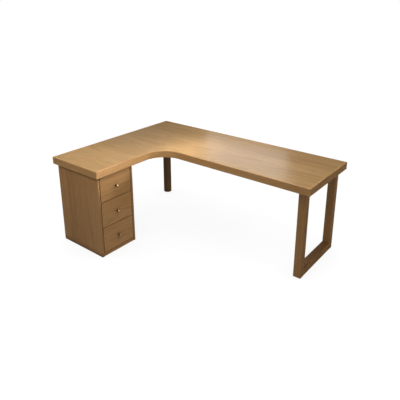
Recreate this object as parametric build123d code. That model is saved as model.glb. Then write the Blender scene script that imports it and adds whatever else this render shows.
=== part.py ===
from build123d import *
from math import hypot, sqrt
import os

# Corner desk: an L-shaped wooden desktop on a three-drawer pedestal, a round corner leg and a
# U-shaped frame leg. Millimetres, +Z up, the long arm along X, its wall side towards +Y.
# The origin is on the floor, under the middle of the desk's overall length and width.

# --- driving dimensions: desktop ---------------------------------------------------------------
desk_length = 1910.0            # overall, along X
desk_width = 1360.0             # overall, along Y
desk_height = 750.0             # floor to the top surface
long_arm_depth = 655.0
return_width = 540.0            # the short arm, measured along X
top_thickness = 58.0
inner_corner_radius = 190.0     # plan radius between the two arms
lipping_thickness = 12.0        # solid wood strip round the edge of the core
top_edge_radius = 4.0
lower_edge_radius = 2.0
corner_round = 4.0              # vertical outer corners of the desktop
overrun = 1.0                   # how far a cutting shape passes the face that it cuts

# --- driving dimensions: pedestal --------------------------------------------------------------
pedestal_depth = 485.0          # along X, from its back to its drawer fronts
pedestal_width = 358.0          # along Y
pedestal_back_inset = 22.0      # from the desktop's outer long edge
pedestal_end_inset = 30.0       # from the return's end
side_panel = 20.0
back_panel = 12.0
board = 18.0
plinth_height = 28.0
plinth_setback = 2.0            # the plinth rail's face, behind the side panels' front edges
panel_edge_radius = 1.5
top_rail_width = 80.0
top_rail_gap = 3.0              # between the front top rail and the drawer fronts
glide_height = 2.0
glide_radius = 9.0
glide_inset = 40.0              # from the pedestal's back and front

# --- driving dimensions: drawers ---------------------------------------------------------------
drawer_names = ("bottom", "middle", "top")
front_height = 214.0
front_gap = 4.0                 # round and between the fronts
front_thickness = 20.0
front_edge_radius = 1.2
box_side = 12.0
box_height = 150.0
box_length = 410.0
box_lift = 23.0                 # from the front's lower edge up to the box's lower edge
bottom_thickness = 6.0
bottom_lift = 12.0              # from the box's lower edge up to its bottom panel
groove_depth = 6.0
slide_gap = 13.0                # between the pedestal side and the drawer box
slide_length = 400.0
slide_lift = 75.0               # slide centre above the box's lower edge
slide_wall = 1.2                # sheet thickness of the cabinet and drawer members
middle_member_wall = 1.0
cabinet_member_depth = 9.5      # of each channel, along Y
drawer_member_depth = 8.0
middle_member_depth = 8.0
cabinet_member_height = 45.0
middle_member_height = 39.0
drawer_member_height = 32.0
middle_member_offset = 3.0      # web of the middle member, from the pedestal side

# --- driving dimensions: legs ------------------------------------------------------------------
post_width = 60.0               # along X
post_depth = 54.0               # along Y
foot_rail_height = 60.0
frame_length = 564.0            # along Y
frame_right_inset = 41.0        # from the desktop's right end
frame_back_inset = 51.0         # from the desktop's back edge
frame_edge_radius = 2.0
frame_plate = 6.0
frame_plate_inset = 5.0         # the plate's edges, inside the posts' outer faces
corner_leg_radius = 39.0
corner_leg_from_side = 52.0     # leg axis to the desktop's outer long edge
corner_leg_from_back = 58.0     # leg axis to the desktop's back edge
corner_plate_radius = 36.0
corner_plate = 5.0

# --- driving dimensions: fasteners and knobs ---------------------------------------------------
wood_screw_radius = 2.5
wood_screw_head = 5.0
wood_screw_cone = 3.0
desktop_screw_bite = 30.0       # how far the desktop screws reach into the core
frame_plate_screws = 4
pedestal_screw_inset = 60.0     # desktop screws in the pedestal's rails, from the side panels
corner_screw_bite = 20.0
corner_screw_circle = 25.0      # radius of the ring of screws in the corner leg's plate
dowel_radius = 4.0
dowel_in_rail = 20.0            # how far each foot rail dowel reaches into the rail, and into its post
dowel_spread = 24.0             # between the two dowels of one foot rail joint
dowel_in_side = 10.0            # how far each bottom board dowel reaches into the side panel
dowel_in_board = 20.0
dowel_from_back = 80.0          # the bottom board's rear pair of dowels, from the pedestal's back
dowel_from_face = 100.0
post_bolt_radius = 4.0
post_bolt_length = 60.0
post_bolt_head = 7.5
post_bolt_cone = 4.0
post_bolt_spread = 26.0         # between the two bolts of one post
hanger_bolt_radius = 5.0
hanger_bolt_in_leg = 50.0
hanger_bolt_in_top = 25.0
knob_drop = 9.0                 # the knob's axis, below the middle of its front
knob_height = 27.0
knob_head_radius = 12.0
knob_neck_radius = 4.8
knob_neck_end = 10.8            # along the knob, where its neck starts to flare
knob_flare_end = 17.8
knob_flare_radius = 14.0
knob_foot_radius = 8.0
knob_foot_edge = 1.6            # the foot's straight edge
knob_foot_height = 3.2
knob_crown_rise = 6.5           # the crown's height above its rim
knob_rim_step = 0.8             # how far the rim's two ends lie inside its widest circle
knob_screw_radius = 2.0
knob_screw_bite = 10.0
knob_screw_head_radius = 4.0
knob_screw_head_height = 2.6
rail_screw_radius = 1.75
rail_screw_length = 14.0
rail_screw_head_radius = 3.4
rail_screw_head_height = 1.2
rail_screw_shares = (0.1, 0.5, 0.85)        # along each cabinet member

# --- places worked out from the dimensions -----------------------------------------------------
left = -desk_length / 2
right = desk_length / 2
back = desk_width / 2
end = -desk_width / 2                       # the return's free end
underside = desk_height - top_thickness
long_arm_front = back - long_arm_depth
return_inner = left + return_width

pedestal_back = left + pedestal_back_inset
pedestal_face = pedestal_back + pedestal_depth
pedestal_end = end + pedestal_end_inset
pedestal_inner = pedestal_end + pedestal_width
bay_end = pedestal_end + side_panel         # the drawer bay lies between the side panels
bay_inner = pedestal_inner - side_panel
bay_middle = (bay_end + bay_inner) / 2
front_back = pedestal_face - front_thickness
rear_rail_x = pedestal_back + back_panel
front_rail_x = front_back - top_rail_gap - top_rail_width
plinth_back = front_back - plinth_setback
box_back = front_back - box_length
slide_back = front_back - slide_length
box_end = bay_end + slide_gap
box_inner = bay_inner - slide_gap

frame_x0 = right - frame_right_inset - post_width
frame_x1 = right - frame_right_inset
frame_y1 = back - frame_back_inset
frame_y0 = frame_y1 - frame_length
leg_x = left + corner_leg_from_side
leg_y = back - corner_leg_from_back


def slab(x0, x1, y0, y1, z0, z1):
    """A block between two opposite corners."""
    return Pos(x0, y0, z0) * Box(x1 - x0, y1 - y0, z1 - z0, align=(Align.MIN,) * 3)


def rod(x, y, z0, z1, radius):
    """An upright cylinder from z0 up to z1."""
    return Pos(x, y, z0) * Cylinder(radius, z1 - z0, align=(Align.CENTER, Align.CENTER, Align.MIN))


def cross_rod(x, y0, y1, z, radius):
    """A cylinder along +Y from y0 to y1."""
    return Pos(x, y0, z) * Rot(-90, 0, 0) * rod(0, 0, 0, y1 - y0, radius)


def long_rod(x0, x1, y, z, radius):
    """A cylinder along +X from x0 to x1."""
    return Pos(x0, y, z) * Rot(0, 90, 0) * rod(0, 0, 0, x1 - x0, radius)


def screw_up(x, y, z0, z1, radius, head_radius, cone):
    """A countersunk screw pointing up: its flat head at z0, its tip at z1."""
    head = Pos(x, y, z0 + cone / 2) * Cone(head_radius, radius, cone)
    return head + rod(x, y, z0 + cone, z1, radius)


def edges_along(part, axis):
    return part.edges().filter_by(axis)


def save(part, node):
    part.label = node
    export_step(part, f"parts/{node}.step")


def save_group(solids, node):
    """Identical separate pieces that share one node."""
    save(Compound(children=list(solids)), node)


# --- fasteners that cut into wood, made first so that their holes match ---------------------------

def wood_dowels():
    """Dowels: two at each end of the foot rail, and two at each side of the pedestal's bottom board."""
    dowels = []
    frame_middle = (frame_x0 + frame_x1) / 2
    z = glide_height + foot_rail_height / 2
    for y in (frame_y0 + post_depth, frame_y1 - post_depth):
        for x in (frame_middle - dowel_spread / 2, frame_middle + dowel_spread / 2):
            dowels.append(cross_rod(x, y - dowel_in_rail, y + dowel_in_rail, z, dowel_radius))
    z = plinth_height - board / 2
    for x in (pedestal_back + dowel_from_back, pedestal_face - dowel_from_face):
        dowels.append(cross_rod(x, bay_end - dowel_in_side, bay_end + dowel_in_board, z, dowel_radius))
        dowels.append(cross_rod(x, bay_inner - dowel_in_board, bay_inner + dowel_in_side, z, dowel_radius))
    return dowels


def wood_screw(x, y, z0, z1):
    return screw_up(x, y, z0, z1, wood_screw_radius, wood_screw_head, wood_screw_cone)


def desktop_screws():
    """Wood screws up into the desktop: through the frame leg's plate and the pedestal's top rails."""
    tip = underside + desktop_screw_bite
    frame_middle = (frame_x0 + frame_x1) / 2
    spacing = frame_length / (frame_plate_screws + 1)
    screws = [wood_screw(frame_middle, frame_y0 + spacing * (k + 1), underside - frame_plate, tip)
              for k in range(frame_plate_screws)]
    for x in (rear_rail_x, front_rail_x):
        for y in (bay_end + pedestal_screw_inset, bay_inner - pedestal_screw_inset):
            screws.append(wood_screw(x + top_rail_width / 2, y, underside - board, tip))
    return screws


def corner_plate_screws():
    """Four short wood screws that hold the corner leg's plate to the desktop."""
    step = corner_screw_circle / sqrt(2)
    return [wood_screw(leg_x + i * step, leg_y + j * step, underside - corner_plate,
                       underside + corner_screw_bite)
            for i in (-1, 1) for j in (-1, 1)]


def post_bolts():
    """Countersunk bolts down through the frame leg's plate, two into each post."""
    frame_middle = (frame_x0 + frame_x1) / 2
    upright = screw_up(0, 0, 0, post_bolt_length, post_bolt_radius, post_bolt_head, post_bolt_cone)
    return [Pos(frame_middle + side * post_bolt_spread / 2, y, underside) * Rot(180, 0, 0) * upright
            for y in (frame_y0 + post_depth / 2, frame_y1 - post_depth / 2) for side in (-1, 1)]


def hanger_bolt():
    """The stud that joins the corner leg to its plate and runs on into the desktop."""
    seat = underside - corner_plate
    return rod(leg_x, leg_y, seat - hanger_bolt_in_leg, seat + hanger_bolt_in_top, hanger_bolt_radius)


dowels = wood_dowels()
into_desktop = desktop_screws()
into_corner = corner_plate_screws()
into_posts = post_bolts()
stud = hanger_bolt()


def cut(part, tools):
    """The part with each tool's shape taken out of it."""
    for tool in tools:
        part = part - tool
    return part


# --- desktop -----------------------------------------------------------------------------------

def l_outline(inset, radius):
    """The L in plan, its outer edges moved in by inset, with the given inner corner radius."""
    x0 = left + inset
    x1 = right - inset
    y0 = end + inset
    y1 = back - inset
    notch_x = return_inner - inset
    notch_y = long_arm_front + inset
    curve = JernArc((notch_x, notch_y - radius), (0, 1), radius, -90)
    sides = Polyline(curve @ 1, (x1, notch_y), (x1, y1), (x0, y1), (x0, y0), (notch_x, y0), curve @ 0)
    return make_face(curve + sides)


def whole_top():
    """The finished desktop's outer shape, with every long edge eased."""
    solid = Pos(0, 0, underside) * extrude(l_outline(0, inner_corner_radius), top_thickness)
    curve_axis = Vector(return_inner + inner_corner_radius, long_arm_front - inner_corner_radius)
    outer_corners = [edge for edge in edges_along(solid, Axis.Z)
                     if hypot(edge.center().X - curve_axis.X, edge.center().Y - curve_axis.Y)
                     > inner_corner_radius + overrun]
    solid = fillet(outer_corners, corner_round)
    solid = fillet(solid.faces().sort_by(Axis.Z)[-1].edges(), top_edge_radius)
    return fillet(solid.faces().sort_by(Axis.Z)[0].edges(), lower_edge_radius)


def desktop():
    """The core and the five solid lippings round it."""
    core_outline = l_outline(lipping_thickness, inner_corner_radius + lipping_thickness)
    core = Pos(0, 0, underside) * extrude(core_outline, top_thickness)
    ring = whole_top() - core
    tool_holes = into_desktop + into_corner + [stud]
    save(cut(core, tool_holes), "desktop_core")

    t = lipping_thickness
    x0 = left - overrun
    x1 = right + overrun
    z0 = underside - overrun
    z1 = desk_height + overrun
    back_zone = slab(x0, x1, back - t, back + overrun, z0, z1)
    end_zone = slab(x0, return_inner + overrun, end - overrun, end + t, z0, z1)
    side_zone = slab(x0, left + t, end + t, back - t, z0, z1)
    right_zone = slab(right - t, x1, long_arm_front - overrun, back - t, z0, z1)
    zones = {"lipping_back": back_zone, "lipping_return_end": end_zone,
             "lipping_outer_side": side_zone, "lipping_right_end": right_zone}
    for node, zone in zones.items():
        save(ring & zone, node)
    save(cut(ring, zones.values()), "lipping_inner_edge")


# --- frame leg -----------------------------------------------------------------------------------

def frame_leg():
    """Two posts and a foot rail, with a steel plate across the posts' tops."""
    post_top = underside - frame_plate
    spans = {"frame_leg_front_post": (frame_y0, frame_y0 + post_depth),
             "frame_leg_rear_post": (frame_y1 - post_depth, frame_y1)}
    for node, (y0, y1) in spans.items():
        post = slab(frame_x0, frame_x1, y0, y1, glide_height, post_top)
        post = fillet(edges_along(post, Axis.Z), frame_edge_radius)
        save(cut(post, dowels + into_posts), node)
    rail = slab(frame_x0, frame_x1, frame_y0 + post_depth, frame_y1 - post_depth,
                glide_height, glide_height + foot_rail_height)
    rail = fillet(edges_along(rail, Axis.Y), frame_edge_radius)
    save(cut(rail, dowels), "frame_leg_foot_rail")
    inset = frame_plate_inset
    plate = slab(frame_x0 + inset, frame_x1 - inset, frame_y0 + inset, frame_y1 - inset,
                 post_top, underside)
    save(cut(plate, into_desktop + into_posts), "frame_leg_plate")
    save_group(into_posts, "frame_leg_post_bolts")


# --- corner leg ----------------------------------------------------------------------------------

def corner_leg():
    """A round leg, hung on a stud from a round steel plate."""
    seat = underside - corner_plate
    leg = rod(leg_x, leg_y, glide_height, seat, corner_leg_radius)
    leg = fillet(leg.edges().filter_by(GeomType.CIRCLE).sort_by(Axis.Z)[0], frame_edge_radius)
    save(leg - stud, "corner_leg")
    plate = rod(leg_x, leg_y, seat, underside, corner_plate_radius)
    save(cut(plate, into_corner + [stud]), "corner_leg_plate")
    save_group(into_corner, "corner_leg_plate_screws")
    save(stud, "corner_leg_hanger_bolt")


# --- pedestal ------------------------------------------------------------------------------------

def pedestal():
    """The drawer cabinet's fixed panels and rails."""
    for node, y0 in (("pedestal_end_panel", pedestal_end), ("pedestal_inner_panel", bay_inner)):
        panel = slab(pedestal_back, pedestal_face, y0, y0 + side_panel, glide_height, underside)
        panel = fillet(edges_along(panel, Axis.Z), panel_edge_radius)
        save(cut(panel, dowels + rail_screws), node)
    bottom_z = plinth_height - board
    back_wall = slab(pedestal_back, pedestal_back + back_panel, bay_end, bay_inner, bottom_z, underside)
    save(back_wall, "pedestal_back_panel")
    floor = slab(pedestal_back + back_panel, plinth_back, bay_end, bay_inner, bottom_z, plinth_height)
    save(cut(floor, dowels), "pedestal_bottom_board")
    plinth_face = plinth_back + front_thickness
    plinth = slab(plinth_back, plinth_face, bay_end, bay_inner, glide_height, plinth_height)
    save(plinth, "pedestal_plinth_rail")
    for node, x in (("pedestal_rear_top_rail", rear_rail_x), ("pedestal_front_top_rail", front_rail_x)):
        rail = slab(x, x + top_rail_width, bay_end, bay_inner, underside - board, underside)
        save(cut(rail, into_desktop), node)


def floor_glides():
    """A round glide under each bearing point."""
    side_middles = (pedestal_end + side_panel / 2, pedestal_inner - side_panel / 2)
    places = [(x, y) for x in (pedestal_back + glide_inset, pedestal_face - glide_inset)
              for y in side_middles]
    frame_middle = (frame_x0 + frame_x1) / 2
    places += [(frame_middle, frame_y0 + post_depth / 2), (frame_middle, frame_y1 - post_depth / 2)]
    places.append((leg_x, leg_y))
    save_group([rod(x, y, 0, glide_height, glide_radius) for x, y in places], "floor_glides")


# --- drawer slides ---------------------------------------------------------------------------------

def channel(depth, height, wall):
    """A rolled steel channel along +X, its web at y = 0 and its flanges towards +Y."""
    half = height / 2
    outer = slab(0, slide_length, 0, depth, -half, half)
    inner = slab(-overrun, slide_length + overrun, wall, depth + overrun, wall - half, half - wall)
    return outer - inner


cabinet_member = channel(cabinet_member_depth, cabinet_member_height, slide_wall)
middle_member = channel(middle_member_depth, middle_member_height, middle_member_wall)
drawer_member = channel(drawer_member_depth, drawer_member_height, slide_wall)


def front_bottom(level):
    """Height of a drawer front's lower edge; level 0 is the bottom drawer."""
    return plinth_height + front_gap + level * (front_height + front_gap)


def box_bottom(level):
    return front_bottom(level) + box_lift


def slide_z(level):
    return box_bottom(level) + slide_lift


def on_both_sides(member, offset, z):
    """A slide member at both sides of the bay, its web the given distance from the side panel."""
    at_end = Pos(slide_back, bay_end + offset, z) * member
    at_inner = Pos(slide_back, bay_inner - offset, z) * mirror(member, Plane.XZ)
    return [at_end, at_inner]


def facing_back(member):
    """The same channel with its flanges turned back towards the pedestal side."""
    return mirror(member, Plane.XZ)


def rail_screw(x, z, wall_y, side):
    """A screw through a cabinet member into the side panel at wall_y; side is +1 where the bay is at +Y."""
    def along(start, length, radius):
        ends = sorted((start, start + side * length))
        return cross_rod(x, *ends, z, radius)

    seat = wall_y + side * slide_wall
    return along(seat, -rail_screw_length, rail_screw_radius) + along(seat, rail_screw_head_height,
                                                                      rail_screw_head_radius)


def rail_screw_set():
    """Screws through each cabinet member into the pedestal sides."""
    return [rail_screw(slide_back + share * slide_length, slide_z(level), wall_y, side)
            for level in range(len(drawer_names)) for share in rail_screw_shares
            for wall_y, side in ((bay_end, 1), (bay_inner, -1))]


rail_screws = rail_screw_set()


# --- drawers ---------------------------------------------------------------------------------------

def knob_shape():
    """A turned mushroom knob along +Z, standing on z = 0."""
    foot = Polyline((0, 0), (knob_foot_radius, 0), (knob_foot_radius, knob_foot_edge),
                    (knob_neck_radius, knob_foot_height))
    neck = Line(foot @ 1, (knob_neck_radius, knob_neck_end))
    rim_reach = knob_head_radius - knob_rim_step
    rim_start = (rim_reach, knob_flare_end)
    flare = RadiusArc(neck @ 1, rim_start, knob_flare_radius)
    crown_rise = knob_crown_rise
    rim_end = (rim_reach, knob_height - crown_rise)
    rim_middle = (knob_head_radius, (knob_flare_end + knob_height - crown_rise) / 2)
    rim = ThreePointArc(flare @ 1, rim_middle, rim_end)
    crown_radius = (rim_reach ** 2 + crown_rise ** 2) / (2 * crown_rise)
    crown = RadiusArc(rim @ 1, (0, knob_height), -crown_radius)
    axis_line = Line(crown @ 1, foot @ 0)
    profile = make_face(Plane.XZ * (foot + neck + flare + rim + crown + axis_line))
    return revolve(profile, Axis.Z)


def drawer(level):
    """One drawer: its front and knob, its box and its half of the slides."""
    name = drawer_names[level]
    z0 = front_bottom(level)
    box_z0 = box_bottom(level)
    box_z1 = box_z0 + box_height
    knob_z = z0 + front_height / 2 - knob_drop

    head_x = front_back - box_side
    tip_x = pedestal_face + knob_screw_bite
    screw = long_rod(head_x, tip_x, bay_middle, knob_z, knob_screw_radius)
    screw += long_rod(head_x - knob_screw_head_height, head_x, bay_middle, knob_z, knob_screw_head_radius)
    save(screw, f"{name}_drawer_knob_screw")
    knob = Pos(pedestal_face, bay_middle, knob_z) * Rot(0, 90, 0) * knob_shape()
    save(knob - screw, f"{name}_drawer_knob")

    front = slab(front_back, pedestal_face, bay_end + front_gap, bay_inner - front_gap,
                 z0, z0 + front_height)
    outer_rim = front.faces().sort_by(Axis.X)[-1].edges()
    save(fillet(outer_rim, front_edge_radius) - screw, f"{name}_drawer_front")

    panel_z = box_z0 + bottom_lift
    panel = slab(box_back + groove_depth, front_back - groove_depth, box_end + groove_depth,
                 box_inner - groove_depth, panel_z, panel_z + bottom_thickness)
    walls = {
        "left_side": slab(box_back, front_back, box_end, box_end + box_side, box_z0, box_z1),
        "right_side": slab(box_back, front_back, box_inner - box_side, box_inner, box_z0, box_z1),
        "box_front": slab(front_back - box_side, front_back, box_end + box_side, box_inner - box_side,
                          box_z0, box_z1),
        "box_back": slab(box_back, box_back + box_side, box_end + box_side, box_inner - box_side,
                         box_z0, box_z1),
    }
    for node, wall in walls.items():
        save(cut(wall, [panel, screw]), f"{name}_drawer_{node}")
    save(panel, f"{name}_drawer_bottom")

    z = slide_z(level)
    cabinet_members = [cut(member, rail_screws) for member in on_both_sides(cabinet_member, 0, z)]
    save_group(cabinet_members, f"{name}_slide_cabinet_members")
    save_group(on_both_sides(middle_member, middle_member_offset, z), f"{name}_slide_middle_members")
    save_group(on_both_sides(facing_back(drawer_member), slide_gap, z), f"{name}_slide_drawer_members")


os.makedirs("parts", exist_ok=True)
desktop()
frame_leg()
corner_leg()
pedestal()
floor_glides()
for drawer_level in range(len(drawer_names)):
    drawer(drawer_level)
save_group(dowels, "wood_dowels")
save_group(into_desktop, "desktop_screws")
save_group(rail_screws, "slide_screws")
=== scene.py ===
"""Corner desk: wood, metal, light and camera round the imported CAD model. Metres, +Z up."""

import math

import bmesh
import bpy
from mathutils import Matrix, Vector

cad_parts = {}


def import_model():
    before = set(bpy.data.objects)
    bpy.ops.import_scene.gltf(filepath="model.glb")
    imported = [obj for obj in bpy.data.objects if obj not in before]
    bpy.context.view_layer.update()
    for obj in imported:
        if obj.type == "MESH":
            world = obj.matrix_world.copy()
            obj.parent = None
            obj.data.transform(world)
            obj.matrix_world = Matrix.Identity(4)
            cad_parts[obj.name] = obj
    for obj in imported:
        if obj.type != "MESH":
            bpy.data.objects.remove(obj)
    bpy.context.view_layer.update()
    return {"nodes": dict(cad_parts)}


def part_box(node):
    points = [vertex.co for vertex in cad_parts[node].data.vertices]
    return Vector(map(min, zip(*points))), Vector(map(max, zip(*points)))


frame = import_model()


# --- places read from the frame ------------------------------------------------------------------

CORE_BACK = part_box("desktop_core")[1].y
LONG_ARM_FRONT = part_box("lipping_right_end")[0].y
RETURN_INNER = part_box("lipping_return_end")[1].x
INNER_RADIUS = 0.190                    # plan radius of the desktop's inner corner
DRAWERS = ("top", "middle", "bottom")

WHITE = (1.0, 1.0, 1.0, 1.0)


# --- node tree helpers -----------------------------------------------------------------------------

class Tree:
    """Short calls that add nodes to one tree and return the sockets that carry on."""

    def __init__(self, tree):
        self.tree = tree

    def add(self, kind, values=None, **settings):
        node = self.tree.nodes.new("ShaderNode" + kind)
        for key, value in settings.items():
            setattr(node, key, value)
        for key, value in (values or {}).items():
            self.put(value, node.inputs[key])
        return node

    def put(self, value, socket):
        if isinstance(value, bpy.types.NodeSocket):
            self.tree.links.new(value, socket)
        else:
            socket.default_value = value

    def math(self, operation, a, b=0.0):
        return self.add("Math", {0: a, 1: b}, operation=operation).outputs[0]

    def times(self, a, b):
        return self.math("MULTIPLY", a, b)

    def total(self, first, *others):
        """The sum of all the terms, added in their order."""
        for term in others:
            first = self.math("ADD", first, term)
        return first

    def swing(self, value, size):
        """Scales a 0 to 1 value to swing evenly about zero."""
        return self.times(self.math("SUBTRACT", value, 0.5), size)

    def vector(self, operation, a, b=(0, 0, 0)):
        node = self.add("VectorMath", {0: a, 1: b}, operation=operation)
        return node.outputs["Value" if operation in ("LENGTH", "DOT_PRODUCT") else "Vector"]

    def split(self, vector):
        return self.add("SeparateXYZ", {0: vector}).outputs

    def join(self, x, y, z):
        return self.add("CombineXYZ", {0: x, 1: y, 2: z}).outputs[0]

    def place(self):
        """Object coordinates, which are metres in the desk's own frame."""
        return self.add("TexCoord").outputs["Object"]

    def noise(self, vector, scale=1.0, detail=2.0, roughness=0.5):
        node = self.add("TexNoise", {"Vector": vector, "Scale": scale, "Detail": detail,
                                     "Roughness": roughness})
        return node.outputs["Fac"]

    def stretched_noise(self, vector, stretch, detail, roughness=0.5):
        """Noise with its own number of cycles per metre along each axis."""
        return self.noise(self.vector("MULTIPLY", vector, stretch), 1.0, detail, roughness)

    def remap(self, value, low, high, to_low=0.0, to_high=1.0):
        node = self.add("MapRange", {"Value": value, "From Min": low, "From Max": high,
                                     "To Min": to_low, "To Max": to_high})
        node.interpolation_type = "SMOOTHSTEP"
        return node.outputs["Result"]

    def mix(self, factor, a, b):
        node = self.add("Mix", data_type="RGBA")
        self.put(factor, node.inputs[0])
        self.put(a, node.inputs[6])
        self.put(b, node.inputs[7])
        return node.outputs[2]

    def ramp(self, factor, stops):
        node = self.add("ValToRGB", {0: factor})
        ramp = node.color_ramp
        while len(ramp.elements) < len(stops):
            ramp.elements.new(0.5)
        for element, (place, colour) in zip(ramp.elements, stops):
            element.position = place
            element.color = (*colour, 1.0)
        return node.outputs[0]


def new_material(name):
    """An empty node material with its Principled shader, as (material, tree, shader node)."""
    material = bpy.data.materials.new(name)
    material.use_nodes = True
    material.node_tree.nodes.clear()
    tree = Tree(material.node_tree)
    shader = tree.add("BsdfPrincipled")
    output = tree.add("OutputMaterial")
    material.node_tree.links.new(shader.outputs[0], output.inputs[0])
    return material, tree, shader


def finish_surface(t, shader, colour, rough, height, strength, distance):
    """Gives a shader its colour, its roughness and a fine relief."""
    t.put(colour, shader.inputs["Base Color"])
    t.put(rough, shader.inputs["Roughness"])
    bump = t.add("Bump", {"Height": height, "Strength": strength, "Distance": distance})
    t.put(bump.outputs[0], shader.inputs["Normal"])


# --- wood: the figure of one board -----------------------------------------------------------------

# Cycles per metre along the grain, across the face and into the board.
FIBRE_CYCLES = (9.0, 520.0, 520.0)
STREAK_CYCLES = (2.2, 46.0, 46.0)
PORE_CYCLES = (52.0, 1250.0, 1250.0)
CLOUD_CYCLES = (0.8, 4.5, 4.5)
BOW_CYCLES = (0.9, 1.2, 1.2)
WAVER_CYCLES = (3.2, 14.0, 14.0)

SEED_SHIFT = (7.3, 3.1, 5.7)            # how far one unit of seed moves the pattern along each axis
EARLY_RISE = (0.0, 0.10)                # part of a ring over which its porous early wood begins
EARLY_FALL = (0.12, 0.60)               # part of a ring over which it ends
PORE_LEVEL = 0.72                       # noise level above which a pore is open
PORE_LEVEL_EARLY = -0.13                # change of that level in early wood
PORE_RIM = 0.06                         # noise range from a pore's rim to its middle

PITH_ASIDE = 0.14                       # furthest that the pith is moved across the face
PITH_ASIDE_LEAN = 0.03                  # furthest it leans sideways, per metre of grain
PITH_DEPTH = (0.030, 0.110)             # least and furthest that it is moved behind the face
PITH_DEPTH_LEAN = 0.028                 # furthest it leans in depth, per metre of grain
BOW = 0.032                             # slow bend of the rings
WAVER = 0.0095                          # quicker wander of the rings
RING_UNEVENNESS = 1.5                   # how far a ring may be moved, in ring widths
RING_UNEVEN_CYCLES = 0.35               # cycles of that per ring


def wood_figure_group():
    """Growth rings, fibres and pores of one board: X is along the grain, Y across the face, Z into it."""
    group = bpy.data.node_groups.new("wood_figure", "ShaderNodeTree")
    for name, kind in (("Vector", "NodeSocketVector"), ("Seed", "NodeSocketFloat"),
                       ("Ring", "NodeSocketFloat")):
        group.interface.new_socket(name, in_out="INPUT", socket_type=kind)
    for name in ("Rings", "Fibres", "Streaks", "Pores", "Clouds"):
        group.interface.new_socket(name, in_out="OUTPUT", socket_type="NodeSocketFloat")
    t = Tree(group)
    given = group.nodes.new("NodeGroupInput").outputs
    result = group.nodes.new("NodeGroupOutput").inputs
    place, seed = given["Vector"], given["Seed"]

    shift = t.join(*(t.times(seed, step) for step in SEED_SHIFT))
    moved = t.vector("ADD", place, shift)
    phase = ring_phase(t, place, moved, seed, given["Ring"])
    early = t.times(t.remap(phase, *EARLY_RISE), t.remap(phase, *EARLY_FALL, 1.0, 0.0))
    dashes = t.stretched_noise(moved, PORE_CYCLES, 1.0, 0.4)
    level = t.total(PORE_LEVEL, t.times(early, PORE_LEVEL_EARLY))
    open_pore = t.math("SUBTRACT", dashes, level)

    t.put(early, result["Rings"])
    t.put(t.stretched_noise(moved, FIBRE_CYCLES, 4.0, 0.62), result["Fibres"])
    t.put(t.stretched_noise(moved, STREAK_CYCLES, 4.0, 0.62), result["Streaks"])
    t.put(t.remap(open_pore, 0.0, PORE_RIM), result["Pores"])
    t.put(t.stretched_noise(moved, CLOUD_CYCLES, 2.0, 0.5), result["Clouds"])
    return group


def ring_phase(t, place, moved, seed, ring_width):
    """Where each point lies within its growth ring, 0 to 1, round a pith that leans across the board."""
    def chance(factor, low, high):
        """A value from low to high, set by the seed; each choice has its own factor."""
        share = t.math("FRACT", t.times(seed, factor))
        return t.total(low, t.times(share, high - low))

    along, aside, deep = t.split(place)
    bow = t.swing(t.stretched_noise(moved, BOW_CYCLES, 1.0), BOW)
    waver = t.swing(t.stretched_noise(moved, WAVER_CYCLES, 3.0), WAVER)
    lean = t.times(along, chance(3.770, -PITH_ASIDE_LEAN, PITH_ASIDE_LEAN))
    across = t.total(aside, chance(1.618, -PITH_ASIDE, PITH_ASIDE), lean, bow)
    lean = t.times(along, chance(5.130, -PITH_DEPTH_LEAN, PITH_DEPTH_LEAN))
    depth = t.total(deep, chance(2.370, *PITH_DEPTH), lean)
    distance = t.total(t.vector("LENGTH", t.join(0.0, across, depth)), waver)
    rings = t.math("DIVIDE", distance, ring_width)
    uneven = t.noise(t.join(rings, 0.0, seed), RING_UNEVEN_CYCLES, 1.0)
    return t.math("FRACT", t.total(rings, t.times(uneven, RING_UNEVENNESS)))


WOOD_FIGURE = wood_figure_group()


# --- wood: boards and their finish -----------------------------------------------------------------

GRAIN = {"x": (0, 1, 2), "y": (1, 0, 2), "z": (2, 0, 1)}    # axes taken as along, across, into

SEED_STEP = 17.0                        # board numbers of one material start this far on, per seed
SEED_START = 3.0
SEED_SPREAD = 9.0                       # most that two boards of one material differ in seed

TONE_PLACES = (0.05, 0.50, 0.95)        # where the dark, middle and light tones lie
STREAK_TONE = 0.60                      # how far each part of the figure moves the tone
FIBRE_TONE = 0.50
CLOUD_TONE = 0.45
BOARD_TONE = 0.20
RING_TONE = 0.11
PORE_SHADE = 0.40                       # pore colour, as a share of the dark tone; also the colour of the painted crevice shade
PORE_COVER = 0.60
JOINT_WIDTH = 0.0009                    # half the width of the line between two boards
EDGE_LIGHTENING = 1.25                  # colour of worn edges with a painted edge highlight, as a multiple of the light tone
CREVICE_SHADE_REACH = 0.05                    # painted shade darkens where another surface is nearer than this
CREVICE_SHADE_OPENNESS = (0.50, 0.97)         # openness from full painted shade to none

FIBRE_ROUGH = 0.14                      # how far each part of the figure moves the roughness
CLOUD_ROUGH = 0.10
PORE_ROUGH = 0.15
FIBRE_HEIGHT = 0.6                      # relief, where a pore is 1 deep
RING_DEPTH = 0.35
RELIEF_STRENGTH = 0.35
RELIEF_SIZE = 0.0003

PATCH_CYCLES = 24.0                     # wear and painted edge highlight come in patches of about 4 cm
PATCH_RANGE = (0.35, 0.65)
LEAST_WEAR_AND_SHEEN = 0.35                       # wear and painted highlight between the patches, as a share of that in them
WEAR_AND_SHEEN_BEND = (0.01, 0.22)                # bend of the surface from no wear and painted highlight to full


def grain_space(t, grain):
    """Object coordinates turned so that X runs along the grain."""
    axis = t.split(t.place())
    if grain == "inner_edge":
        return bent_space(t, axis)
    return t.join(*(axis[k] for k in GRAIN[grain]))


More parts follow.
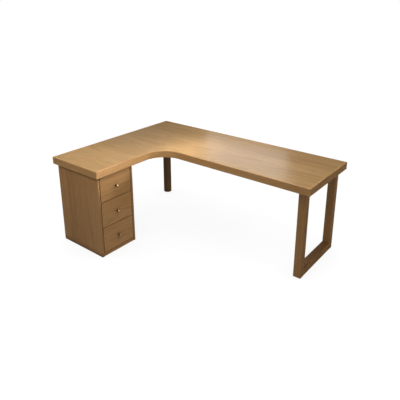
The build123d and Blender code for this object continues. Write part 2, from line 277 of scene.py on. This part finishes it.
def bent_space(t, axis):
    """Coordinates that follow the inner edge: along the long arm, round the curve, down the return."""
    centre_x = RETURN_INNER + INNER_RADIUS
    centre_y = LONG_ARM_FRONT - INNER_RADIUS
    to_return = t.math("SUBTRACT", centre_x, axis[0])
    to_back = t.math("SUBTRACT", axis[1], centre_y)
    in_x = t.math("MAXIMUM", to_return, 0.0)
    in_y = t.math("MAXIMUM", to_back, 0.0)
    turned = t.times(t.math("ARCTAN2", in_y, in_x), INNER_RADIUS)
    along_arm = t.math("MAXIMUM", t.times(to_return, -1.0), 0.0)
    down_return = t.math("MAXIMUM", t.times(to_back, -1.0), 0.0)
    straight = t.math("SUBTRACT", along_arm, down_return)
    outward = t.math("SUBTRACT", t.vector("LENGTH", t.join(in_x, in_y, 0.0)), INNER_RADIUS)
    return t.join(t.total(turned, straight), outward, axis[2])


def lay_boards(t, grain, board, board_axis, board_start, seed):
    """Cuts grain space into boards, as (place within the board, place across it, its own chance node)."""
    place = grain_space(t, grain)
    from_start = t.math("SUBTRACT", t.split(place)[board_axis], board_start)
    number = t.math("FLOOR", t.math("DIVIDE", from_start, board))
    own_number = t.total(number, seed * SEED_STEP + SEED_START)
    chance = t.add("TexWhiteNoise", {"W": own_number}, noise_dimensions="1D")
    middle = t.times(t.total(number, 0.5), board)
    centred = t.math("SUBTRACT", from_start, middle)
    parts = list(t.split(place))
    parts[board_axis] = centred
    return t.join(*parts), centred, chance


def wood(name, tones, grain, board, board_axis=1, board_start=0.0, ring=0.0052, seed=0.0,
         contrast=1.0, gloss=0.40, joints=0.0, wear_and_sheen=0.5, wear_and_sheen_width=0.0035, painted_crevice_shade=0.0):
    """Finished timber, its edges lightened partly by wear and partly by a painted highlight. tones are
    dark, middle and light; board is a board's width across board_axis.
    """
    material, t, shader = new_material(name)
    place, centred, chance = lay_boards(t, grain, board, board_axis, board_start, seed)
    own_seed = t.total(t.times(chance.outputs["Value"], SEED_SPREAD), seed)
    figure = t.add("Group", node_tree=WOOD_FIGURE)
    for socket, value in (("Vector", place), ("Seed", own_seed), ("Ring", ring)):
        t.put(value, figure.inputs[socket])
    out = figure.outputs

    board_shade = t.split(chance.outputs["Color"])[1]
    colour = figured_colour(t, out, board_shade, tones, contrast)
    dark, _, light = tones
    pore_and_shade_colour = (*(PORE_SHADE * c for c in dark), 1.0)
    wear_and_sheen_colour = (*(min(1.0, EDGE_LIGHTENING * c) for c in light), 1.0)
    colour = t.mix(t.times(out["Pores"], PORE_COVER), colour, pore_and_shade_colour)
    if joints:
        to_joint = t.math("SUBTRACT", 0.5 * board, t.math("ABSOLUTE", centred))
        colour = t.mix(t.remap(to_joint, 0.0, JOINT_WIDTH, joints, 0.0), colour, pore_and_shade_colour)
    # Edges lightened, partly as wear and partly as a painted highlight along them.
    colour = t.mix(wear_and_sheen_mask(t, wear_and_sheen, wear_and_sheen_width), colour, wear_and_sheen_colour)
    # Painted shade: darker where another surface is near, as under the desktop's overhang and in the gaps
    # round the drawers.
    if painted_crevice_shade:
        open_air = t.add("AmbientOcclusion", {"Distance": CREVICE_SHADE_REACH}, samples=4).outputs["AO"]
        colour = t.mix(t.remap(open_air, *CREVICE_SHADE_OPENNESS, painted_crevice_shade, 0.0), colour, pore_and_shade_colour)

    rough = t.total(gloss, t.swing(out["Fibres"], FIBRE_ROUGH), t.swing(out["Clouds"], CLOUD_ROUGH),
                    t.times(out["Pores"], PORE_ROUGH))
    height = t.math("SUBTRACT", t.times(out["Fibres"], FIBRE_HEIGHT), out["Pores"])
    height = t.math("SUBTRACT", height, t.times(out["Rings"], RING_DEPTH))
    finish_surface(t, shader, colour, rough, height, RELIEF_STRENGTH, RELIEF_SIZE)
    return material


def figured_colour(t, out, board_shade, tones, contrast):
    """The timber's own colour, before pores, joints and wear."""
    tone = t.total(0.5, t.swing(out["Streaks"], STREAK_TONE * contrast),
                   t.swing(out["Fibres"], FIBRE_TONE * contrast),
                   t.swing(out["Clouds"], CLOUD_TONE * contrast),
                   t.swing(board_shade, BOARD_TONE * contrast))
    tone = t.math("SUBTRACT", tone, t.times(out["Rings"], RING_TONE * contrast))
    return t.ramp(tone, list(zip(TONE_PLACES, tones)))


def wear_and_sheen_mask(t, strength, width):
    """Where edges are lightened, partly as wear and partly as a painted highlight: highest along rounded
    and sharp edges, broken up by noise.
    """
    rounded = t.add("Bevel", {"Radius": width}, samples=4).outputs[0]
    flat = t.add("NewGeometry").outputs["Normal"]
    bend = t.math("SUBTRACT", 1.0, t.vector("DOT_PRODUCT", rounded, flat))
    patch = t.noise(t.place(), PATCH_CYCLES, 3.0, 0.6)
    wear_and_sheen_level = t.remap(bend, *WEAR_AND_SHEEN_BEND, 0.0, strength)
    return t.times(wear_and_sheen_level, t.remap(patch, *PATCH_RANGE, LEAST_WEAR_AND_SHEEN, 1.0))


# --- other materials -------------------------------------------------------------------------------

ZINC = (0.62, 0.62, 0.60, 1.0)
ZINC_DULL = (0.48, 0.47, 0.45, 1.0)
ZINC_ROUGH = 0.26
ZINC_SCRATCH_STRETCH = (0.05, 1, 1)     # scratches are twenty times as long along X
ZINC_DULLING = (0.40, 0.70)             # noise levels from bright to dull

BRASS_NECK = (0.110, 0.060, 0.026)
BRASS_CHEEK = (0.27, 0.16, 0.072)
BRASS_CROWN = (0.62, 0.41, 0.22)
BRASS_CHEEK_PLACE = 0.45                # where the middle colour lies between the other two
BRASS_TARNISH = (0.14, 0.085, 0.038, 1.0)
BRASS_RUBBED = (0.48, 0.86)             # share of the knob's length over which it becomes rubbed
BRASS_SPOTS = (0.52, 0.72)              # noise levels from no tarnish to full
BRASS_SPOT_COVER = 0.45
BRASS_ROUGH = 0.48
LATHE_RINGS = 34.0                      # turning marks over a knob's length

BLACK_COAT = (0.022, 0.022, 0.023)
BLACK_COAT_ROUGH = 0.45
GLIDE_PLASTIC = (0.075, 0.055, 0.042)
GLIDE_ROUGH = 0.50


def zinc_plate():
    """Zinc-plated steel: dulled in patches, with fine scratches along X."""
    material, t, shader = new_material("zinc_plate")
    place = t.place()
    scratches = t.noise(t.vector("MULTIPLY", place, ZINC_SCRATCH_STRETCH), 300.0, 4.0, 0.65)
    patches = t.noise(place, 60.0, 3.0, 0.55)
    colour = t.mix(t.remap(patches, *ZINC_DULLING), ZINC, ZINC_DULL)
    rough = t.total(ZINC_ROUGH, t.times(scratches, 0.20), t.times(patches, 0.08))
    finish_surface(t, shader, colour, rough, scratches, 0.25, 0.0001)
    shader.inputs["Metallic"].default_value = 1.0
    return material


def turned_brass(face_x, length):
    """Old turned brass: dark in the neck near the drawer front, rubbed bright on the crown."""
    material, t, shader = new_material("aged_brass")
    place = t.place()
    out_along = t.math("DIVIDE", t.math("SUBTRACT", t.split(place)[0], face_x), length)
    spots = t.noise(place, 420.0, 3.0, 0.6)
    blotches = t.noise(place, 110.0, 2.0, 0.5)
    rubbed = t.remap(t.total(out_along, t.swing(blotches, 0.30)), *BRASS_RUBBED)
    colour = t.ramp(rubbed, [(0.0, BRASS_NECK), (BRASS_CHEEK_PLACE, BRASS_CHEEK), (1.0, BRASS_CROWN)])
    tarnish = t.times(t.remap(spots, *BRASS_SPOTS), BRASS_SPOT_COVER)
    colour = t.mix(tarnish, colour, BRASS_TARNISH)
    rough = t.math("SUBTRACT", BRASS_ROUGH, t.times(rubbed, 0.12))
    rough = t.total(rough, t.times(spots, 0.08))
    lathe = t.noise(t.join(t.times(out_along, LATHE_RINGS), 0.0, 0.0), 1.0, 3.0, 0.6)
    finish_surface(t, shader, colour, rough, lathe, 0.30, 0.0002)
    shader.inputs["Metallic"].default_value = 1.0
    return material


def moulded(name, colour, rough):
    """Plain painted or moulded surface with a fine texture."""
    material, t, shader = new_material(name)
    place = t.place()
    speckle = t.noise(place, 900.0, 2.0, 0.6)
    patch = t.noise(place, 18.0, 2.0, 0.5)
    lighter = tuple(min(1.0, 1.5 * c + 0.01) for c in colour)
    mottled = t.mix(t.times(patch, 0.6), (*colour, 1.0), (*lighter, 1.0))
    finish_surface(t, shader, mottled, t.total(rough, t.times(speckle, 0.12)), speckle, 0.4, 0.00015)
    return material


# --- each piece's material -------------------------------------------------------------------------

DARK_SHARE = (0.70, 0.64, 0.57)
LIGHT_SHARE = (1.24, 1.34, 1.48)
TOP_BOARDS = 5
PANEL_BOARDS = 5
BACK_BAND = 0.11                        # height of each band of figure on the pedestal's back
RAIL_BOARD = 0.2
POST_BOARD = 0.30
POST_BOARD_START = 0.25
LEG_BOARD = 2.0
LEG_BOARD_START = -1.9
FRONT_BOARD_DROP = 0.0015               # a front's board starts this far below it, within the gap
ONE_BOARD = {"board": 2.0, "board_start": -1.0}     # one board over the whole piece, so no joint


def three_tones(middle):
    """Dark, middle and light tones of one timber: the dark ones are redder."""
    dark = tuple(a * b for a, b in zip(middle, DARK_SHARE))
    light = tuple(a * b for a, b in zip(middle, LIGHT_SHARE))
    return dark, middle, light


TOP_TONES = three_tones((0.392, 0.234, 0.096))
EDGE_TONES = three_tones((0.465, 0.257, 0.100))
END_TONES = three_tones((0.405, 0.218, 0.083))
SIDE_TONES = three_tones((0.395, 0.208, 0.080))
FRONT_TONES = three_tones((0.415, 0.222, 0.085))
# The round leg's tones are darker than the other timber's as painted shade, for the shade under the
# desktop.
SHADED_LEG_TONES = three_tones((0.170, 0.090, 0.034))
BOX_TONES = ((0.420, 0.290, 0.165), (0.600, 0.450, 0.290), (0.720, 0.580, 0.410))


def paint(material, *nodes):
    """Gives CAD nodes this material in every slot."""
    for node in nodes:
        mesh = frame["nodes"][node].data
        mesh.materials.clear()
        mesh.materials.append(material)


def paint_desktop():
    """Boards along X on the top, and one strip of wood on each edge."""
    board = (CORE_BACK - LONG_ARM_FRONT) / TOP_BOARDS
    top = wood("top_boards", TOP_TONES, "x", board, board_start=CORE_BACK - TOP_BOARDS * board, seed=1.0,
               joints=0.25, gloss=0.36)
    along_x = wood("edge_along_x", EDGE_TONES, "x", seed=2.0, ring=0.0045, **ONE_BOARD)
    along_y = wood("edge_along_y", EDGE_TONES, "y", seed=3.0, ring=0.0045, **ONE_BOARD)
    round_corner = wood("edge_round_corner", EDGE_TONES, "inner_edge", seed=4.0, ring=0.0045, **ONE_BOARD)
    of_return = wood("edge_of_return", END_TONES, "x", seed=4.6, ring=0.0075, contrast=1.5, **ONE_BOARD)
    paint(top, "desktop_core")
    paint(along_x, "lipping_back")
    paint(along_y, "lipping_outer_side", "lipping_right_end")
    paint(round_corner, "lipping_inner_edge")
    paint(of_return, "lipping_return_end")


def paint_pedestal():
    """Upright boards on the sides; on the back, upright grain that starts afresh at each BACK_BAND."""
    face_low, face_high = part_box("pedestal_end_panel")
    board = (face_high.x - face_low.x) / PANEL_BOARDS
    # The side panels get painted shade under the desktop's overhang, and a painted highlight with wear
    # along their edges.
    sides = wood("side_boards", SIDE_TONES, "z", board, board_start=face_low.x, seed=5.0, joints=0.2,
                 wear_and_sheen=0.35, wear_and_sheen_width=0.002, painted_crevice_shade=0.85)
    back = wood("back_boards", SIDE_TONES, "z", BACK_BAND, board_axis=0, seed=6.0)
    rails = wood("rails", SIDE_TONES, "y", RAIL_BOARD, seed=7.0)
    paint(sides, "pedestal_end_panel", "pedestal_inner_panel")
    paint(back, "pedestal_back_panel")
    paint(rails, "pedestal_bottom_board", "pedestal_plinth_rail", "pedestal_front_top_rail",
          "pedestal_rear_top_rail")


def paint_legs():
    """The posts lie in two different boards, and the round leg's axis near the middle of its own."""
    posts = wood("posts", SIDE_TONES, "z", POST_BOARD, board_axis=2, board_start=POST_BOARD_START,
                 seed=8.0, ring=0.0042)
    foot_rail = wood("foot_rail", SIDE_TONES, "y", seed=9.0, ring=0.0042, **ONE_BOARD)
    round_leg = wood("round_leg", SHADED_LEG_TONES, "z", LEG_BOARD, board_start=LEG_BOARD_START, seed=10.0)
    paint(posts, "frame_leg_front_post", "frame_leg_rear_post")
    paint(foot_rail, "frame_leg_foot_rail")
    paint(round_leg, "corner_leg")


def paint_drawers():
    """One board on each drawer front; pale thin boards for the boxes behind."""
    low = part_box("bottom_drawer_front")[0].z
    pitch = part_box("middle_drawer_front")[0].z - low
    # The fronts get painted shade under the desktop and in their gaps, and a painted highlight with wear
    # along their edges.
    fronts = wood("drawer_fronts", FRONT_TONES, "y", pitch, board_axis=2,
                  board_start=low - FRONT_BOARD_DROP, seed=11.0, ring=0.0060, contrast=1.10, wear_and_sheen=0.40,
                  wear_and_sheen_width=0.0018, painted_crevice_shade=0.85)
    # The boxes' edges get a little wear and painted highlight.
    box = {"board": pitch, "board_axis": 2, "board_start": low, "contrast": 0.6, "gloss": 0.55,
           "wear_and_sheen": 0.2}
    box_long = wood("box_sides", BOX_TONES, "x", seed=12.0, **box)
    box_cross = wood("box_ends", BOX_TONES, "y", seed=13.0, **box)
    for name in DRAWERS:
        paint(fronts, f"{name}_drawer_front")
        paint(box_long, f"{name}_drawer_left_side", f"{name}_drawer_right_side")
        paint(box_cross, f"{name}_drawer_box_front", f"{name}_drawer_box_back", f"{name}_drawer_bottom")


def paint_hardware():
    """Slides, screws, knobs, plates, glides and dowels."""
    zinc = zinc_plate()
    knob_low, knob_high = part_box("top_drawer_knob")
    brass = turned_brass(knob_low.x, knob_high.x - knob_low.x)
    for name in DRAWERS:
        paint(zinc, f"{name}_slide_cabinet_members", f"{name}_slide_middle_members",
              f"{name}_slide_drawer_members", f"{name}_drawer_knob_screw")
        paint(brass, f"{name}_drawer_knob")
    paint(zinc, "slide_screws", "desktop_screws", "frame_leg_post_bolts", "corner_leg_plate_screws",
          "corner_leg_hanger_bolt")
    paint(moulded("black_coat", BLACK_COAT, BLACK_COAT_ROUGH), "frame_leg_plate", "corner_leg_plate")
    paint(moulded("glide_plastic", GLIDE_PLASTIC, GLIDE_ROUGH), "floor_glides")
    paint(wood("dowel_beech", BOX_TONES, "y", seed=14.0, **ONE_BOARD), "wood_dowels")


# --- floor, light and camera -----------------------------------------------------------------------

FLOOR_HALF = 30.0
FLOOR_TO_LIGHT = (0.27, 0.27, 0.27, 1.0)        # the floor's colour as it bounces light
FLOOR_TO_CAMERA = (0.02, 0.02, 0.02, 1.0)       # and under its glow, as the camera sees it
FLOOR_GLOW = (0.90, 1.01)                       # glow towards the camera beneath the desk, dimmed as a painted shadow, and in the open
FLOOR_OPENNESS = (0.2, 0.95)
SHADE_REACH = 1.2

# How bright the room is on one side: axis, sign, level at the horizon and level higher up.
ROOM_SIDES = (
    (1, -1.0, 0.66, 0.0),                       # front
    (0, 1.0, 1.25, 0.0),                        # right
    (1, 1.0, 0.11, 0.14),                       # behind
    (0, -1.0, 0.18, 0.40),                      # left
)
ROOM_RISE = (0.25, 0.65)                        # upward part of a direction, from horizon level to high
ROOM_TINT = (1.05, 1.0, 0.88, 1.0)

# Area lights: place, aim, size, watts and spread in degrees.
LIGHTS = {
    "over_front": ((0.0, -0.8, 2.6), (0.0, -0.64, 0.0), (0.9, 0.9), 19.0, 180.0),
    "over_right": ((0.85, -0.1, 2.6), (0.3, -0.1, 0.5), (0.40, 0.40), 21.5, 180.0),
    "low_beam": ((1.02, 1.52, 1.62), (-0.50, -0.39, 0.875), (0.95, 0.52), 1.9, 15.0),
    "front": ((-0.6, -2.1, 2.2), (-0.6, -0.65, 0.60), (0.8, 0.4), 2.3, 70.0),
    "window": ((-0.14, 0.9, 1.15), (-0.14, 0.0, 1.15), (0.94, 0.50), 2.8, 180.0),
    "window_side": ((-1.33, 0.9, 1.34), (-1.33, 0.0, 1.34), (1.36, 0.52), 0.7, 180.0),
    "inner_corner": ((-0.22, 0.16, 2.2), (-0.22, 0.16, 0.0), (0.3, 0.3), 0.55, 25.0),
}

CAMERA_PLACE = (2.130, -2.667, 2.037)
CAMERA_AZIMUTH = 38.30                          # degrees from the front towards the right
CAMERA_ELEVATION = 18.25
LENS = 41.33                                    # millimetres, as is the sensor
SENSOR = 36.0
SHIFT_UP = -0.15
FAR_CLIP = 100.0


def floor():
    """A wide pale floor; its light towards the camera is lifted so that it stays near white, and dimmed
    beneath the desk as a painted shadow.
    """
    mesh = bpy.data.meshes.new("floor")
    shape = bmesh.new()
    bmesh.ops.create_grid(shape, x_segments=1, y_segments=1, size=FLOOR_HALF)
    shape.to_mesh(mesh)
    shape.free()
    plane = bpy.data.objects.new("floor", mesh)
    bpy.context.scene.collection.objects.link(plane)
    material, t, shader = new_material("pale_floor")
    seen = t.add("LightPath").outputs["Is Camera Ray"]
    # Painted shadow: the floor's glow towards the camera is lower where the desk is near.
    open_sky = t.add("AmbientOcclusion", {"Distance": SHADE_REACH}, samples=8).outputs["AO"]
    glow_with_painted_shadow = t.remap(open_sky, *FLOOR_OPENNESS, *FLOOR_GLOW)
    t.put(t.mix(seen, FLOOR_TO_LIGHT, FLOOR_TO_CAMERA), shader.inputs["Base Color"])
    t.put(t.times(seen, glow_with_painted_shadow), shader.inputs["Emission Strength"])
    shader.inputs["Emission Color"].default_value = WHITE
    shader.inputs["Roughness"].default_value = 1.0
    shader.inputs["Specular IOR Level"].default_value = 0.0
    mesh.materials.append(material)


def world():
    """White to the camera; as light, a room that is brightest on the right and dimmest behind."""
    scene = bpy.context.scene
    scene.world = bpy.data.worlds.new("studio")
    scene.world.use_nodes = True
    scene.world.node_tree.nodes.clear()
    t = Tree(scene.world.node_tree)
    axis = t.split(t.add("TexCoord").outputs["Generated"])
    flat = t.vector("LENGTH", t.join(axis[0], axis[1], 0.0))
    high = t.remap(axis[2], *ROOM_RISE)
    brightness = 0.0
    for k, sign, low_level, high_level in ROOM_SIDES:
        facing = t.math("MAXIMUM", t.math("DIVIDE", t.times(axis[k], sign), flat), 0.0)
        level = t.total(low_level, t.times(high, high_level - low_level))
        brightness = t.total(brightness, t.times(t.times(facing, facing), level))
    seen = t.add("LightPath").outputs["Is Camera Ray"]
    strength = t.total(t.times(brightness, t.math("SUBTRACT", 1.0, seen)), seen)
    background = t.add("Background", {"Color": t.mix(seen, ROOM_TINT, WHITE), "Strength": strength})
    output = t.add("OutputWorld")
    scene.world.node_tree.links.new(background.outputs[0], output.inputs[0])


def soft_light(name, place, aim, size, power, spread):
    """A rectangular area light at place, facing aim, hidden from the camera."""
    data = bpy.data.lights.new(name, "AREA")
    data.shape = "RECTANGLE"
    data.size, data.size_y = size
    data.energy = power
    data.spread = math.radians(spread)
    light = bpy.data.objects.new(name, data)
    light.location = place
    light.rotation_mode = "QUATERNION"
    light.rotation_quaternion = (Vector(aim) - Vector(place)).to_track_quat("-Z", "Y")
    light.visible_camera = False
    bpy.context.scene.collection.objects.link(light)


def lights():
    """Two boxes overhead, a narrow beam, a front light, two windows and a corner light."""
    for name, (place, aim, size, power, spread) in LIGHTS.items():
        soft_light(name, place, aim, size, power, spread)


def camera():
    """Stands at the front right, a little above the desk, as a person would see it."""
    azimuth = math.radians(CAMERA_AZIMUTH)
    elevation = math.radians(CAMERA_ELEVATION)
    level = math.cos(elevation)
    back = Vector((math.sin(azimuth) * level, -math.cos(azimuth) * level, math.sin(elevation)))
    data = bpy.data.cameras.new("camera")
    data.sensor_width = SENSOR
    data.lens = LENS
    data.shift_y = SHIFT_UP
    data.clip_end = FAR_CLIP
    view = bpy.data.objects.new("camera", data)
    view.location = CAMERA_PLACE
    view.rotation_mode = "QUATERNION"
    view.rotation_quaternion = (-back).to_track_quat("-Z", "Y")
    bpy.context.scene.collection.objects.link(view)
    bpy.context.scene.camera = view


camera()
floor()
world()
lights()
paint_desktop()
paint_pedestal()
paint_legs()
paint_drawers()
paint_hardware()
bpy.context.scene.view_settings.view_transform = "Standard"
